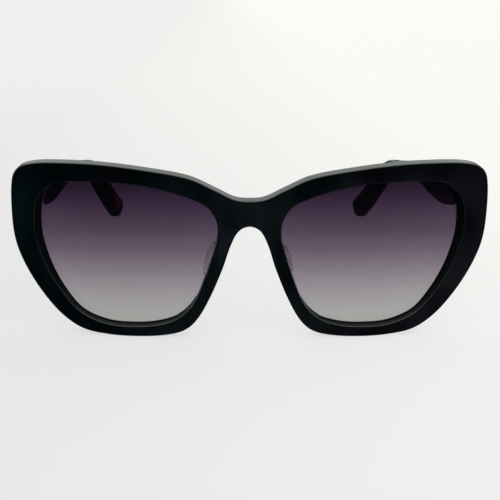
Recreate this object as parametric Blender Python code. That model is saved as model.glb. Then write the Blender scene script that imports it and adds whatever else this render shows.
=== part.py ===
"""Cat eye sunglasses: acetate front, two lenses, clear nose pads and two folding temples.

Sizes are in millimetres in the design frame: X across the face with the wearer's left
at +X, Y back from the front of the bridge, Z up from the surface the glasses stand on.
The last step scales the objects to metres and centres them over the footprint.
"""
import bpy
import bmesh
from math import ceil, cos, pi, radians, sin, tau
from mathutils import Matrix, Vector
from mathutils.geometry import interpolate_bezier

# ---- driving sizes ---------------------------------------------------------------
LENS_WIDTH = 53.8          # across one rim opening
LENS_HEIGHT = 45.8         # up one rim opening
BRIDGE_WIDTH = 19.4        # between the two openings at their closest
RIM_OUTER = 8.6            # acetate outboard of the opening
RIM_TOP = 5.65             # acetate above the opening
RIM_BOTTOM = 3.75          # acetate below the opening
FRONT_THICK = 5.0
FRONT_RADIUS = 465.0       # wrap of the front around the face, seen from above
FRONT_EDGE = 1.0           # round on the outer edges
APERTURE_EDGE = 1.05       # round on the front edge of each opening
APERTURE_FLARE = 1.7       # extra width of that round beside the temple
FLARE_FALL = 8             # the higher, the shorter the stretch that is wider
APERTURE_BACK_EDGE = 0.4

LENS_THICK = 1.7
LENS_SHELF = 0.9           # acetate left behind the lens groove
LENS_CROWN = 1.2           # middle of the lens stands this far forward of its edge
GROOVE_DEPTH = 0.8
LENS_RINGS = (1.0, 0.8, 0.55, 0.28)
FIT_GAP = 0.12             # between a piece and the seat cut for it

TEMPLE_REACH = 141.0       # front of the bridge to the end of the tips
ELBOW_REACH = 103.0        # front of the bridge to the bend over the ear
ELBOW_HEIGHT = 30.2        # middle of the temple at the bend, above the floor
TEMPLE_THICK = 4.0
TEMPLE_HEIGHT = 12.4       # at the hinge
TEMPLE_FLARE = 13.5        # widest place, just behind the hinge
SHAFT_HEIGHT = 7.8
TIP_HEIGHT = 8.8
TEMPLE_EDGE = 1.1          # round on the long edges
TEMPLE_DROP = 3.4          # top of the temple below the top of the front
OUTER_INSET = 2.1          # outer face of the temple inside the widest part of the front
TOE_IN = 0.055             # slope of the temples towards each other, behind the hinge leaf
TOE_EASE = 6.0             # length over which that slope sets in
TIP_BEND = 4.3             # extra inward bend of the tip

END_STAND = 0.9            # back of the end block behind the back of the front
END_ROOT = 0.43            # the end block starts this deep inside the front
END_INBOARD = 1.05         # the end block reaches this far inboard of the hinge axis
MITRE_GAP = 0.15
KNUCKLE_RADIUS = 1.25
KNUCKLE_HEIGHT = 1.6
KNUCKLE_GAP = 0.06
KNUCKLE_COUNT = 5
KNUCKLE_STAND = 0.1        # knuckles clear of the temple's inner face
KNUCKLE_SETBACK = 0.15     # knuckles behind the mitre
WEB_SHARE = 0.84           # reach of a front web over the knuckle, as a share of its radius
REAR_WEB_SHARE = 0.7
PIN_RADIUS = 0.6
PIN_CLEARANCE = 0.06
PIN_HEAD_RADIUS = 1.1
PIN_HEAD_HEIGHT = 0.55
PIN_RISE = 0.06            # head above the top knuckle
PIN_END = 0.1              # shank ends this far inside the lowest knuckle
SLOT_WIDTH = 0.32
SLOT_DEPTH = 0.25
HINGE_DROP = 9.05          # middle of the hinge below the top of the front
LEAF_THICK = 1.0
LEAF_MARGIN = 0.2          # temple leaf above and below its knuckles
FRONT_LEAF_INBOARD = 0.85  # front leaf inboard of the hinge axis
FRONT_LEAF_REACH = 3.9     # and outboard of it
FRONT_SCREW_REACH = 2.55
FRONT_SCREW_PITCH = 4.78
TEMPLE_LEAF_LENGTH = 16.5
TEMPLE_LEAF_SLOPE = 0.17   # the temple leaf follows the slope of the temple
TEMPLE_SCREW_FRONT = 5.0   # behind the hinge axis
TEMPLE_SCREW_REAR = 4.0    # ahead of the end of the leaf
TOE_MARGIN = 0.5           # straight stretch behind the leaf
SCREW_RADIUS = 0.55
SCREW_HEAD_RADIUS = 0.95
SCREW_HEAD_HEIGHT = 0.4
SCREW_LENGTH = 2.5
SCREW_CLEARANCE = 0.06
SCREW_NECK = 0.2           # shank starts this deep inside the head
HEAD_GAP = 0.05            # under the head
BORE_END_GAP = 0.15        # beyond the end of a screw

CORE_RADIUS = 0.7
CORE_CLEARANCE = 0.12
CORE_LEAF_GAP = 0.3        # sideways between the wire and the temple leaf
CORE_RISE = 3.2            # wire above the lower edge of the temple at the mitre
CORE_FALL = 1.2            # drop of the wire over its first stretch
CORE_FIRST = 10.0          # length of that stretch
CORE_INSET = 0.3           # wire starts inside the mitre
CORE_TAIL = 0.8            # channel runs on past the wire
CORE_MIDDLE = 66.0         # from here on the core wire runs in the middle of the shaft
CORE_END = 127.0           # inner end of the core wire

PAD_HEIGHT = 13.6
PAD_DEPTH = 11.0
PAD_THICK = 3.2
PAD_SPLAY = radians(24)
PAD_LEAN = radians(19)     # follows the slope of the rim beside the nose
PAD_CENTRE = 24.2          # height of its middle above the floor
PAD_GAP = 0.06
PAD_SINK = 0.6             # middle of the pad behind its bonded face
PAD_SHIFT = 0.2            # pad outboard of the middle of the rim there

OUTLINE_STEP = 3.6         # spacing of points on the front's outline
OPENING_STEP = 3.2
PATH_STEP = 4.0
OVERSHOOT = 2.0            # a cutting tool runs this far past what it cuts
MM = 0.001

# ---- sizes worked out from the driving ones --------------------------------------
LENS_SETBACK = FRONT_THICK - LENS_SHELF - LENS_THICK
HALF_WIDTH = BRIDGE_WIDTH / 2 + LENS_WIDTH + RIM_OUTER
FRONT_HEIGHT = RIM_BOTTOM + LENS_HEIGHT + RIM_TOP
TEMPLE_OUTER = HALF_WIDTH - OUTER_INSET
TEMPLE_INNER = TEMPLE_OUTER - TEMPLE_THICK


def wrap(x):
    """How far the front has curved back at x."""
    return x * x / (2 * FRONT_RADIUS)


MITRE = wrap(TEMPLE_OUTER) + FRONT_THICK + END_STAND
TEMPLE_START = MITRE + MITRE_GAP
AXIS_X = TEMPLE_INNER - KNUCKLE_RADIUS - KNUCKLE_STAND
AXIS_Y = MITRE + KNUCKLE_RADIUS + KNUCKLE_SETBACK
TOE_START = AXIS_Y + TEMPLE_LEAF_LENGTH + TOE_MARGIN
FRONT_LEAF_OUTER = AXIS_X + FRONT_LEAF_REACH
FRONT_SCREW_X = AXIS_X + FRONT_SCREW_REACH
CORE_X = TEMPLE_INNER + LEAF_THICK + CORE_LEAF_GAP + CORE_RADIUS
HINGE_Z = FRONT_HEIGHT - HINGE_DROP
HINGE_HEIGHT = KNUCKLE_COUNT * KNUCKLE_HEIGHT + (KNUCKLE_COUNT - 1) * KNUCKLE_GAP
HINGE_LOW = HINGE_Z - HINGE_HEIGHT / 2
TEMPLE_TOP = FRONT_HEIGHT - TEMPLE_DROP

# Outlines as shares of their own box, so they follow the sizes above.
# Right half of the front: across from the centre line, up from the floor.
FRONT_OUTLINE = (
    (0.0, 0.801), (0.062, 0.81), (0.14, 0.859), (0.25, 0.924), (0.415, 0.964),
    (0.61, 0.993), (0.788, 1.0), (0.897, 0.993), (0.957, 0.967), (0.986, 0.912),
    (1.0, 0.741), (0.995, 0.563), (0.962, 0.42), (0.897, 0.261), (0.814, 0.123),
    (0.723, 0.038), (0.61, 0.007), (0.485, 0.0), (0.36, 0.012), (0.277, 0.043),
    (0.222, 0.109), (0.167, 0.239), (0.112, 0.415), (0.077, 0.554), (0.044, 0.634),
    (0.0, 0.659),
)
# One rim opening: out from its nose side, up from its lowest point.
OPENING_OUTLINE = (
    (0.0, 0.64), (0.006, 0.745), (0.054, 0.838), (0.13, 0.887), (0.27, 0.942),
    (0.40, 0.975), (0.52, 0.992), (0.66, 1.0), (0.79, 0.999), (0.90, 0.985),
    (0.957, 0.935), (0.987, 0.84), (1.0, 0.70), (0.993, 0.58), (0.954, 0.408),
    (0.884, 0.236), (0.787, 0.09), (0.645, 0.015), (0.489, 0.0), (0.34, 0.018),
    (0.222, 0.072), (0.138, 0.176), (0.071, 0.361), (0.02, 0.54),
)


# ---- curves and outlines ---------------------------------------------------------
def smooth_points(points, spacing, closed):
    """Points at about the given spacing on a smooth curve through the given ones."""
    knots = [Vector(p).to_3d() for p in points]
    count = len(knots)
    result = []
    for i in range(count if closed else count - 1):
        here = knots[i]
        there = knots[(i + 1) % count]
        before = knots[i - 1] if closed or i else here
        after = knots[(i + 2) % count] if closed or i + 2 < count else there
        span = (there - here).length
        leave = (there - before) * span / max((here - before).length + span, 1e-6)
        arrive = (after - here) * span / max((after - there).length + span, 1e-6)
        steps = max(2, ceil(span / spacing))
        curve = interpolate_bezier(here, here + leave / 3, there - arrive / 3, there, steps + 1)
        result.extend(curve[:-1])
    if not closed:
        result.append(knots[-1])
    return result


def outline_normals(points):
    """Outward normals of a closed clockwise outline in X and Z, kept as (x, z) vectors."""
    normals = []
    count = len(points)
    for i in range(count):
        along = points[(i + 1) % count] - points[i - 1]
        normals.append(Vector((-along.y, along.x)).normalized())
    return normals


def front_outline():
    half = [(u * HALF_WIDTH, v * FRONT_HEIGHT) for u, v in FRONT_OUTLINE]
    other = [(-x, z) for x, z in reversed(half[1:-1])]
    return smooth_points(half + other, OUTLINE_STEP, True)


def opening_outline():
    low = RIM_BOTTOM
    inner = BRIDGE_WIDTH / 2
    points = [(inner + u * LENS_WIDTH, low + v * LENS_HEIGHT) for u, v in OPENING_OUTLINE]
    return smooth_points(points, OPENING_STEP, True)


# ---- mesh helpers ----------------------------------------------------------------
def ring(mesh, outline, normals, grow, depth):
    """A loop of vertices: the outline grown by an amount for each point, at one depth."""
    verts = []
    for point, normal, out in zip(outline, normals, grow):
        verts.append(mesh.verts.new((point.x + normal.x * out, depth, point.y + normal.y * out)))
    return verts


def bridge(mesh, first, second):
    """Quads between two closed loops of the same length."""
    count = len(first)
    for i in range(count):
        j = (i + 1) % count
        mesh.faces.new((first[i], first[j], second[j], second[i]))


def quarter_round(radius, steps):
    """(inset, depth) pairs from the face to the side of a rounded edge."""
    turns = [pi / 2 * i / steps for i in range(steps + 1)]
    return [(radius * (1 - sin(a)), radius * (1 - cos(a))) for a in turns]


def fill_between(mesh, loops):
    """Flat faces between an outer loop and the loops inside it."""
    edges = []
    for loop in loops:
        for i, vert in enumerate(loop):
            edge = mesh.edges.get((vert, loop[i - 1]))
            edges.append(edge or mesh.edges.new((vert, loop[i - 1])))
    bmesh.ops.triangle_fill(mesh, edges=edges, use_beauty=True)


def material(name, colour, roughness, metallic=0.0, clear=0.0):
    """One Principled BSDF material."""
    made = bpy.data.materials.get(name) or bpy.data.materials.new(name)
    made.use_nodes = True
    shader = made.node_tree.nodes["Principled BSDF"]
    shader.inputs["Base Color"].default_value = (*colour, 1.0)
    shader.inputs["Roughness"].default_value = roughness
    shader.inputs["Metallic"].default_value = metallic
    shader.inputs["Transmission Weight"].default_value = clear
    return made


ACETATE = ("black_acetate", (0.006, 0.009, 0.010), 0.12)
TINTED = ("gradient_tint", (0.16, 0.12, 0.15), 0.04, 0.0, 0.6)
CRYSTAL = ("crystal_acetate", (0.86, 0.87, 0.86), 0.08, 0.0, 0.9)
STEEL = ("hinge_steel", (0.55, 0.54, 0.52), 0.3, 1.0)


def finish_mesh(mesh, name, finish, sharp=30):
    """Turn a bmesh into a named object, with closed, outward faces and smooth rounds."""
    bmesh.ops.recalc_face_normals(mesh, faces=mesh.faces)
    data = bpy.data.meshes.new(name)
    mesh.to_mesh(data)
    mesh.free()
    made = bpy.data.objects.new(name, data)
    bpy.context.collection.objects.link(made)
    shade(made, sharp)
    data.materials.append(material(f"{name}_{finish[0]}", *finish[1:]))
    return made


def shade(made, sharp):
    made.data.shade_smooth()
    made.data.set_sharp_from_angle(angle=radians(sharp))


def box(mesh, low, high):
    """An axis-aligned box between two corners."""
    low = Vector(low)
    high = Vector(high)
    made = bmesh.ops.create_cube(mesh, size=1.0)
    for vert in made["verts"]:
        share = vert.co + Vector((0.5, 0.5, 0.5))
        vert.co = low + Vector(a * b for a, b in zip(share, high - low))
    return made["verts"]


def rod(mesh, start, end, radius, sides):
    """A closed cylinder between two points."""
    start = Vector(start)
    along = Vector(end) - start
    turn = along.to_track_quat("Z", "X").to_matrix().to_4x4()
    place = Matrix.Translation(start + along / 2) @ turn
    bmesh.ops.create_cone(mesh, cap_ends=True, segments=sides, radius1=radius, radius2=radius,
                          depth=along.length, matrix=place)


def solid(build, name="tool", finish=STEEL):
    """An object from a function that fills a bmesh."""
    mesh = bmesh.new()
    build(mesh)
    return finish_mesh(mesh, name, finish)


def combine(target, tools, operation):
    """Apply exact Booleans to the target and remove the tools."""
    for tool in tools:
        change = target.modifiers.new("shape", "BOOLEAN")
        change.operation = operation
        change.solver = "EXACT"
        change.object = tool
        bpy.context.view_layer.objects.active = target
        bpy.ops.object.modifier_apply(modifier=change.name)
        data = tool.data
        bpy.data.objects.remove(tool)
        bpy.data.meshes.remove(data)
    keep_own_material(target)
    return target


def keep_own_material(target):
    while len(target.data.materials) > 1:
        target.data.materials.pop()
    for face in target.data.polygons:
        face.material_index = 0
    shade(target, 30)


def bend(target, move):
    """Move each vertex by a function of its place."""
    for vert in target.data.vertices:
        vert.co = move(vert.co)
    return target


def mirrored(source, name):
    """The same piece for the other side of the face."""
    data = source.data.copy()
    data.transform(Matrix.Scale(-1, 4, (1, 0, 0)))
    data.flip_normals()
    data.name = name
    made = bpy.data.objects.new(name, data)
    bpy.context.collection.objects.link(made)
    own = source.data.materials[0].copy()
    own.name = source.data.materials[0].name.replace(source.name, name)
    data.materials[0] = own
    return made


# ---- front -----------------------------------------------------------------------
def build_front():
    mesh = bmesh.new()
    outer = front_outline()
    outer_out = outline_normals(outer)
    edge = quarter_round(FRONT_EDGE, 2)
    levels = [(-inset, depth) for inset, depth in edge]
    levels += [(-inset, FRONT_THICK - depth) for inset, depth in reversed(edge)]
    outer_rings = [ring(mesh, outer, outer_out, [grow] * len(outer), depth)
                   for grow, depth in levels]
    for first, second in zip(outer_rings, outer_rings[1:]):
        bridge(mesh, first, second)

    groove_front = LENS_SETBACK - FIT_GAP
    groove_back = LENS_SETBACK + LENS_THICK + FIT_GAP
    wall = [(0.0, groove_front), (GROOVE_DEPTH, groove_front), (GROOVE_DEPTH, groove_back),
            (0.0, groove_back), (0.0, FRONT_THICK - APERTURE_BACK_EDGE),
            (APERTURE_BACK_EDGE, FRONT_THICK)]
    opening = opening_outline()
    opening_out = outline_normals(opening)
    flare = [1 + APERTURE_FLARE / APERTURE_EDGE * max(0.0, n.x) ** FLARE_FALL
             for n in opening_out]
    levels = [([grow * f for f in flare], depth)
              for grow, depth in quarter_round(APERTURE_EDGE, 2)]
    levels += [([grow] * len(opening), depth) for grow, depth in wall]
    front_loops = [outer_rings[0]]
    back_loops = [outer_rings[-1]]
    for side in (1, -1):
        points = [Vector((side * p.x, p.y)) for p in opening]
        normals = [Vector((side * n.x, n.y)) for n in opening_out]
        rings = [ring(mesh, points, normals, grow, depth) for grow, depth in levels]
        for first, second in zip(rings, rings[1:]):
            bridge(mesh, first, second)
        front_loops.append(rings[0])
        back_loops.append(rings[-1])
    fill_between(mesh, front_loops)
    fill_between(mesh, back_loops)

    strip = HALF_WIDTH / 9
    for i in range(-8, 9):
        everything = mesh.verts[:] + mesh.edges[:] + mesh.faces[:]
        bmesh.ops.bisect_plane(mesh, geom=everything, dist=1e-4,
                               plane_co=(i * strip, 0, 0), plane_no=(1, 0, 0))
    front = finish_mesh(mesh, "front", ACETATE)
    bend(front, lambda p: Vector((p.x, p.y + wrap(p.x), p.z)))

    for side in (1, -1):
        combine(front, [solid(lambda m, s=side: end_block(m, s))], "UNION")
        combine(front, [solid(lambda m, s=side: front_leaf_seat(m, s)),
                        solid(lambda m, s=side: front_screw_bores(m, s))], "DIFFERENCE")
    return front


def side_box(mesh, side, low, high):
    """A box given for the +X side, or its mirror image."""
    near, far = sorted((side * low[0], side * high[0]))
    return box(mesh, (near, low[1], low[2]), (far, high[1], high[2]))


def end_block(mesh, side):
    """The pad behind the rim that the temple closes against."""
    start = wrap(AXIS_X) + FRONT_THICK - END_ROOT
    low = (AXIS_X - END_INBOARD, start, TEMPLE_TOP - TEMPLE_HEIGHT)
    high = (TEMPLE_OUTER, MITRE, TEMPLE_TOP)
    side_box(mesh, side, low, high)
    long_edges = [e for e in mesh.edges
                  if abs(e.verts[0].co.y - e.verts[1].co.y) > 1 and e.verts[0].co.z > HINGE_Z]
    bmesh.ops.bevel(mesh, geom=long_edges, offset=TEMPLE_EDGE, segments=2, profile=0.5,
                    affect="EDGES")


def front_leaf_seat(mesh, side):
    """Pocket for the front leaf, open inboard and to the back."""
    low = (AXIS_X - END_INBOARD - OVERSHOOT, MITRE - LEAF_THICK - FIT_GAP / 2,
           HINGE_LOW - FIT_GAP)
    high = (FRONT_LEAF_OUTER + FIT_GAP, MITRE + OVERSHOOT, HINGE_LOW + HINGE_HEIGHT + FIT_GAP)
    side_box(mesh, side, low, high)


def front_screw_bores(mesh, side):
    for z in front_screw_heights():
        start = (side * FRONT_SCREW_X, MITRE - SCREW_LENGTH - BORE_END_GAP, z)
        end = (side * FRONT_SCREW_X, MITRE - LEAF_THICK / 2, z)
        rod(mesh, start, end, SCREW_RADIUS + SCREW_CLEARANCE, 10)


def front_screw_heights():
    return (HINGE_Z - FRONT_SCREW_PITCH / 2, HINGE_Z + FRONT_SCREW_PITCH / 2)


# ---- lenses ----------------------------------------------------------------------
def build_lens():
    """Lens: rings of its own outline, each stood forward a little more than the last."""
    mesh = bmesh.new()
    outline = opening_outline()
    normals = outline_normals(outline)
    reach = GROOVE_DEPTH - FIT_GAP
    edge = [p.to_2d() + n * reach for p, n in zip(outline, normals)]
    middle = Vector((BRIDGE_WIDTH / 2 + LENS_WIDTH / 2, RIM_BOTTOM + LENS_HEIGHT / 2))
    sides = []
    for depth in (LENS_SETBACK, LENS_SETBACK + LENS_THICK):
        rings = []
        for share in LENS_RINGS:
            loop = []
            for point in edge:
                place = middle + (point - middle) * share
                y = depth - LENS_CROWN * (1 - share * share) + wrap(place.x)
                loop.append(mesh.verts.new((place.x, y, place.y)))
            rings.append(loop)
        for first, second in zip(rings, rings[1:]):
            bridge(mesh, first, second)
        centre = mesh.verts.new((middle.x, depth - LENS_CROWN + wrap(middle.x), middle.y))
        for i, vert in enumerate(rings[-1]):
            mesh.faces.new((rings[-1][i - 1], vert, centre))
        sides.append(rings[0])
    bridge(mesh, sides[0], sides[1])
    return finish_mesh(mesh, "lens_left", TINTED)


# ---- nose pads -------------------------------------------------------------------
def build_pad():
    """A bean of clear acetate behind the rim, cut flat where it is bonded."""
    mesh = bmesh.new()
    bmesh.ops.create_uvsphere(mesh, u_segments=20, v_segments=12, radius=0.5)
    slim = Matrix.Diagonal((PAD_THICK, PAD_DEPTH, PAD_HEIGHT, 1.0))
    turn = Matrix.Rotation(-PAD_SPLAY, 4, "Z")
    lean = Matrix.Rotation(-PAD_LEAN, 4, "Y")
    back = FRONT_THICK + wrap(PAD_X + PAD_THICK) + PAD_GAP
    place = Matrix.Translation((PAD_X, back + PAD_SINK, PAD_CENTRE))
    bmesh.ops.transform(mesh, matrix=place @ lean @ turn @ slim, verts=mesh.verts)
    cut = bmesh.ops.bisect_plane(mesh, geom=mesh.verts[:] + mesh.edges[:] + mesh.faces[:],
                                 plane_co=(0, back, 0), plane_no=(0, -1, 0), clear_outer=True)
    rim = [e for e in cut["geom_cut"] if isinstance(e, bmesh.types.BMEdge)]
    bmesh.ops.holes_fill(mesh, edges=rim, sides=0)
    return finish_mesh(mesh, "nose_pad_left", CRYSTAL)


# middle of the rim beside the nose, at the height of the pad
PAD_X = 0.5 * (0.112 * HALF_WIDTH + BRIDGE_WIDTH / 2 + 0.05 * LENS_WIDTH) + PAD_SHIFT


# ---- temples ---------------------------------------------------------------------
def toe(y):
    """Sideways place of the temple at y: straight beside the hinge, then leaning in."""
    run = max(0.0, y - TOE_START)
    lean = TOE_IN * (run * run / (2 * TOE_EASE) if run < TOE_EASE else run - TOE_EASE / 2)
    hook = max(0.0, (y - ELBOW_REACH) / (TEMPLE_REACH - ELBOW_REACH))
    return -lean - TIP_BEND * hook * hook


def droop(y):
    """The temple leaf slopes down with the temple behind the knuckles."""
    return -TEMPLE_LEAF_SLOPE * max(0.0, y - AXIS_Y - KNUCKLE_RADIUS)


def temple_path():
    """(y, z, height) along the middle of the temple, from the mitre to the tip."""
    start = TEMPLE_TOP - TEMPLE_HEIGHT / 2
    fall = ELBOW_HEIGHT - start
    length = ELBOW_REACH - TEMPLE_START
    back = TEMPLE_REACH - ELBOW_REACH
    tip = TIP_HEIGHT / 2
    straight = ((0.0, 0.0, TEMPLE_HEIGHT), (0.13, 0.135, TEMPLE_HEIGHT + 0.5),
                (0.27, 0.31, TEMPLE_FLARE), (0.40, 0.385, TEMPLE_FLARE - 2.5),
                (0.53, 0.44, SHAFT_HEIGHT + 0.1), (0.64, 0.55, SHAFT_HEIGHT - 0.3),
                (0.75, 0.68, SHAFT_HEIGHT - 0.2), (0.88, 0.845, SHAFT_HEIGHT - 0.1),
                (1.0, 1.0, SHAFT_HEIGHT + 0.1))
    points = [(TEMPLE_START + s * length, start + f * fall, h) for s, f, h in straight]
    hook = ((0.27, 0.19), (0.50, 0.475), (0.71, 0.77))
    drop = ELBOW_HEIGHT - tip
    points += [(ELBOW_REACH + s * back, ELBOW_HEIGHT - f * drop,
                SHAFT_HEIGHT + (TIP_HEIGHT - SHAFT_HEIGHT) * s) for s, f in hook]
    points.append((TEMPLE_REACH - tip, tip, TIP_HEIGHT))
    return smooth_points(points, PATH_STEP, False)


def temple_section(height, thick):
    """Rounded rectangle, as (across, up) points."""
    edge = min(TEMPLE_EDGE, thick * 0.45, height * 0.45)
    points = []
    for corner in range(4):
        sign_x = 1 if corner in (0, 3) else -1
        sign_z = 1 if corner in (0, 1) else -1
        for step in range(3):
            angle = corner * pi / 2 + step * pi / 4
            points.append((sign_x * (thick / 2 - edge) + edge * cos(angle),
                           sign_z * (height / 2 - edge) + edge * sin(angle)))
    return points


def build_temple():
    """Skin of rounded sections along the path, with a domed end."""
    mesh = bmesh.new()
    path = temple_path()
    stations = []
    for i, point in enumerate(path):
        along = path[min(i + 1, len(path) - 1)] - path[max(i - 1, 0)]
        up = Vector((-along.y, along.x)).normalized() if i else Vector((0.0, 1.0))
        stations.append((point, up, point.z, TEMPLE_THICK))
    last, up, height, _ = stations[-1]
    onward = Vector((up.y, -up.x))
    for step in range(1, 5):
        angle = step * radians(80) / 4
        place = last.to_2d() + onward * sin(angle) * height / 2
        thick = TEMPLE_THICK * (0.35 + 0.65 * cos(angle) ** 0.5)
        stations.append((place.to_3d(), up, height * cos(angle), thick))
    middle = (TEMPLE_INNER + TEMPLE_OUTER) / 2
    loops = []
    for point, up, height, thick in stations:
        loop = []
        for across, rise in temple_section(height, thick):
            y = point.x + up.x * rise
            loop.append(mesh.verts.new((middle + across + toe(y), y, point.y + up.y * rise)))
        loops.append(loop)
    for first, second in zip(loops, loops[1:]):
        bridge(mesh, first, second)
    mesh.faces.new(loops[0])
    mesh.faces.new(loops[-1])
    temple = finish_mesh(mesh, "temple_left", ACETATE)
    channel = core_tube("tool", CORE_RADIUS + CORE_CLEARANCE, CORE_INSET + OVERSHOOT, CORE_TAIL)
    cuts = [solid(temple_screw_bores), channel, solid(temple_leaf_seat)]
    return combine(temple, cuts, "DIFFERENCE")


def core_path():
    """(y, z) of the core wire, low beside the hinge and then in the middle of the shaft."""
    low = TEMPLE_TOP - TEMPLE_HEIGHT + CORE_RISE
    points = [Vector((TEMPLE_START + CORE_INSET, low)),
              Vector((TEMPLE_START + CORE_FIRST, low - CORE_FALL))]
    points += [p.to_2d() for p in temple_path()[::2] if CORE_MIDDLE < p.x < CORE_END]
    return smooth_points(points, 6.0, False)


def core_tube(name, radius, extra_start, extra_end):
    """Round tube along the core wire's path, run on straight at both ends."""
    mesh = bmesh.new()
    path = core_path()
    path[0] -= (path[1] - path[0]).normalized() * extra_start
    path[-1] += (path[-1] - path[-2]).normalized() * extra_end
    loops = []
    sides = 8
    for i, point in enumerate(path):
        along = path[min(i + 1, len(path) - 1)] - path[max(i - 1, 0)]
        up = Vector((-along.y, along.x)).normalized()
        loop = []
        for k in range(sides):
            across = radius * cos(tau * k / sides)
            rise = radius * sin(tau * k / sides)
            y = point.x + up.x * rise
            loop.append(mesh.verts.new((CORE_X + across + toe(y), y, point.y + up.y * rise)))
        loops.append(loop)
    for first, second in zip(loops, loops[1:]):
        bridge(mesh, first, second)
    mesh.faces.new(loops[0])
    mesh.faces.new(loops[-1])
    return finish_mesh(mesh, name, STEEL)


# ---- hinges ----------------------------------------------------------------------
def knuckle_range(number):
    low = HINGE_LOW + number * (KNUCKLE_HEIGHT + KNUCKLE_GAP)
    return low, low + KNUCKLE_HEIGHT


def pin_bore(mesh):
    bottom = (AXIS_X, AXIS_Y, HINGE_LOW - OVERSHOOT)
    top = (AXIS_X, AXIS_Y, HINGE_LOW + HINGE_HEIGHT + OVERSHOOT)
    rod(mesh, bottom, top, PIN_RADIUS + PIN_CLEARANCE, 16)


def knuckles(numbers, web_low, web_high):
    """Tools for the knuckles with these numbers, and the webs that carry them."""
    tools = []
    for number in numbers:
        low, high = knuckle_range(number)

        def barrel(mesh, low=low, high=high):
            rod(mesh, (AXIS_X, AXIS_Y, low), (AXIS_X, AXIS_Y, high), KNUCKLE_RADIUS, 20)

        def web(mesh, low=low, high=high):
            box(mesh, (*web_low, low), (*web_high, high))

        tools += [solid(barrel), solid(web)]
    return tools


def screw_holes(mesh, places, inward):
    """Through hole and head recess of the leaf screws."""
    inward = Vector(inward)
    for place in places:
        place = Vector(place)
        rod(mesh, place - inward * OVERSHOOT, place + inward * (LEAF_THICK + OVERSHOOT),
            SCREW_RADIUS + SCREW_CLEARANCE, 10)


def head_recesses(mesh, places, inward):
    inward = Vector(inward)
    for place in places:
        place = Vector(place)
        rod(mesh, place - inward * OVERSHOOT, place + inward * (SCREW_HEAD_HEIGHT + HEAD_GAP),
            SCREW_HEAD_RADIUS + SCREW_CLEARANCE, 14)


def front_screw_places():
    return [(FRONT_SCREW_X, MITRE, z) for z in front_screw_heights()]


def temple_screw_places():
    first = AXIS_Y + TEMPLE_SCREW_FRONT
    second = AXIS_Y + TEMPLE_LEAF_LENGTH - TEMPLE_SCREW_REAR
    return [(TEMPLE_INNER, y, HINGE_Z + droop(y)) for y in (first, second)]


def build_front_leaf():
    def plate(mesh):
        box(mesh, (AXIS_X - FRONT_LEAF_INBOARD, MITRE - LEAF_THICK, HINGE_LOW),
            (FRONT_LEAF_OUTER, MITRE, HINGE_LOW + HINGE_HEIGHT))
    leaf = solid(plate, "front_hinge_left", STEEL)
    reach = KNUCKLE_RADIUS * WEB_SHARE
    webs = ((AXIS_X - FRONT_LEAF_INBOARD, MITRE - LEAF_THICK / 2), (AXIS_X + reach, AXIS_Y))
    combine(leaf, knuckles((0, 2, 4), *webs), "UNION")
    places = front_screw_places()
    cuts = [solid(pin_bore), solid(lambda m: screw_holes(m, places, (0, -1, 0))),
            solid(lambda m: head_recesses(m, places, (0, -1, 0)))]
    return combine(leaf, cuts, "DIFFERENCE")


def temple_leaf_bend(p):
    """Slopes the temple leaf and its seat down with the temple."""
    return Vector((p.x, p.y, p.z + droop(p.y)))


def leaf_plate(mesh, start, end, low, high, grow, thick):
    """Plate on the inner face of the temple, cut across where its slope begins."""
    box(mesh, (TEMPLE_INNER, start, low - grow), (TEMPLE_INNER + thick, end, high + grow))
    everything = mesh.verts[:] + mesh.edges[:] + mesh.faces[:]
    bmesh.ops.bisect_plane(mesh, geom=everything, dist=1e-4,
                           plane_co=(0, AXIS_Y + KNUCKLE_RADIUS, 0), plane_no=(0, 1, 0))


def temple_plate_range():
    return knuckle_range(1)[0] - LEAF_MARGIN, knuckle_range(3)[1] + LEAF_MARGIN


def temple_leaf_seat(mesh):
    """Pocket in the inner face, open to the mitre."""
    low, high = temple_plate_range()
    leaf_plate(mesh, TEMPLE_START - OVERSHOOT, AXIS_Y + TEMPLE_LEAF_LENGTH + FIT_GAP, low, high,
               FIT_GAP, LEAF_THICK + FIT_GAP / 2)
    for vert in mesh.verts:
        if abs(vert.co.x - TEMPLE_INNER) < 1e-3:
            vert.co.x -= OVERSHOOT
    for vert in mesh.verts:
        vert.co = temple_leaf_bend(vert.co)


def temple_screw_bores(mesh):
    for place in temple_screw_places():
        start = Vector(place) + Vector((LEAF_THICK / 2, 0, 0))
        end = Vector(place) + Vector((SCREW_LENGTH + BORE_END_GAP, 0, 0))
        rod(mesh, start, end, SCREW_RADIUS + SCREW_CLEARANCE, 10)


def build_temple_leaf():
    low, high = temple_plate_range()

    def plate(mesh):
        leaf_plate(mesh, TEMPLE_START + FIT_GAP, AXIS_Y + TEMPLE_LEAF_LENGTH, low, high, 0.0,
                   LEAF_THICK)
    leaf = solid(plate, "temple_hinge_left", STEEL)
    bend(leaf, temple_leaf_bend)
    places = temple_screw_places()
    combine(leaf, [solid(lambda m: screw_holes(m, places, (1, 0, 0))),
                   solid(lambda m: head_recesses(m, places, (1, 0, 0)))], "DIFFERENCE")
    reach = KNUCKLE_RADIUS * REAR_WEB_SHARE
    webs = ((AXIS_X, AXIS_Y - reach), (TEMPLE_INNER + LEAF_THICK / 2, AXIS_Y + reach))
    combine(leaf, knuckles((1, 3), *webs), "UNION")
    return combine(leaf, [solid(pin_bore)], "DIFFERENCE")


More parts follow.
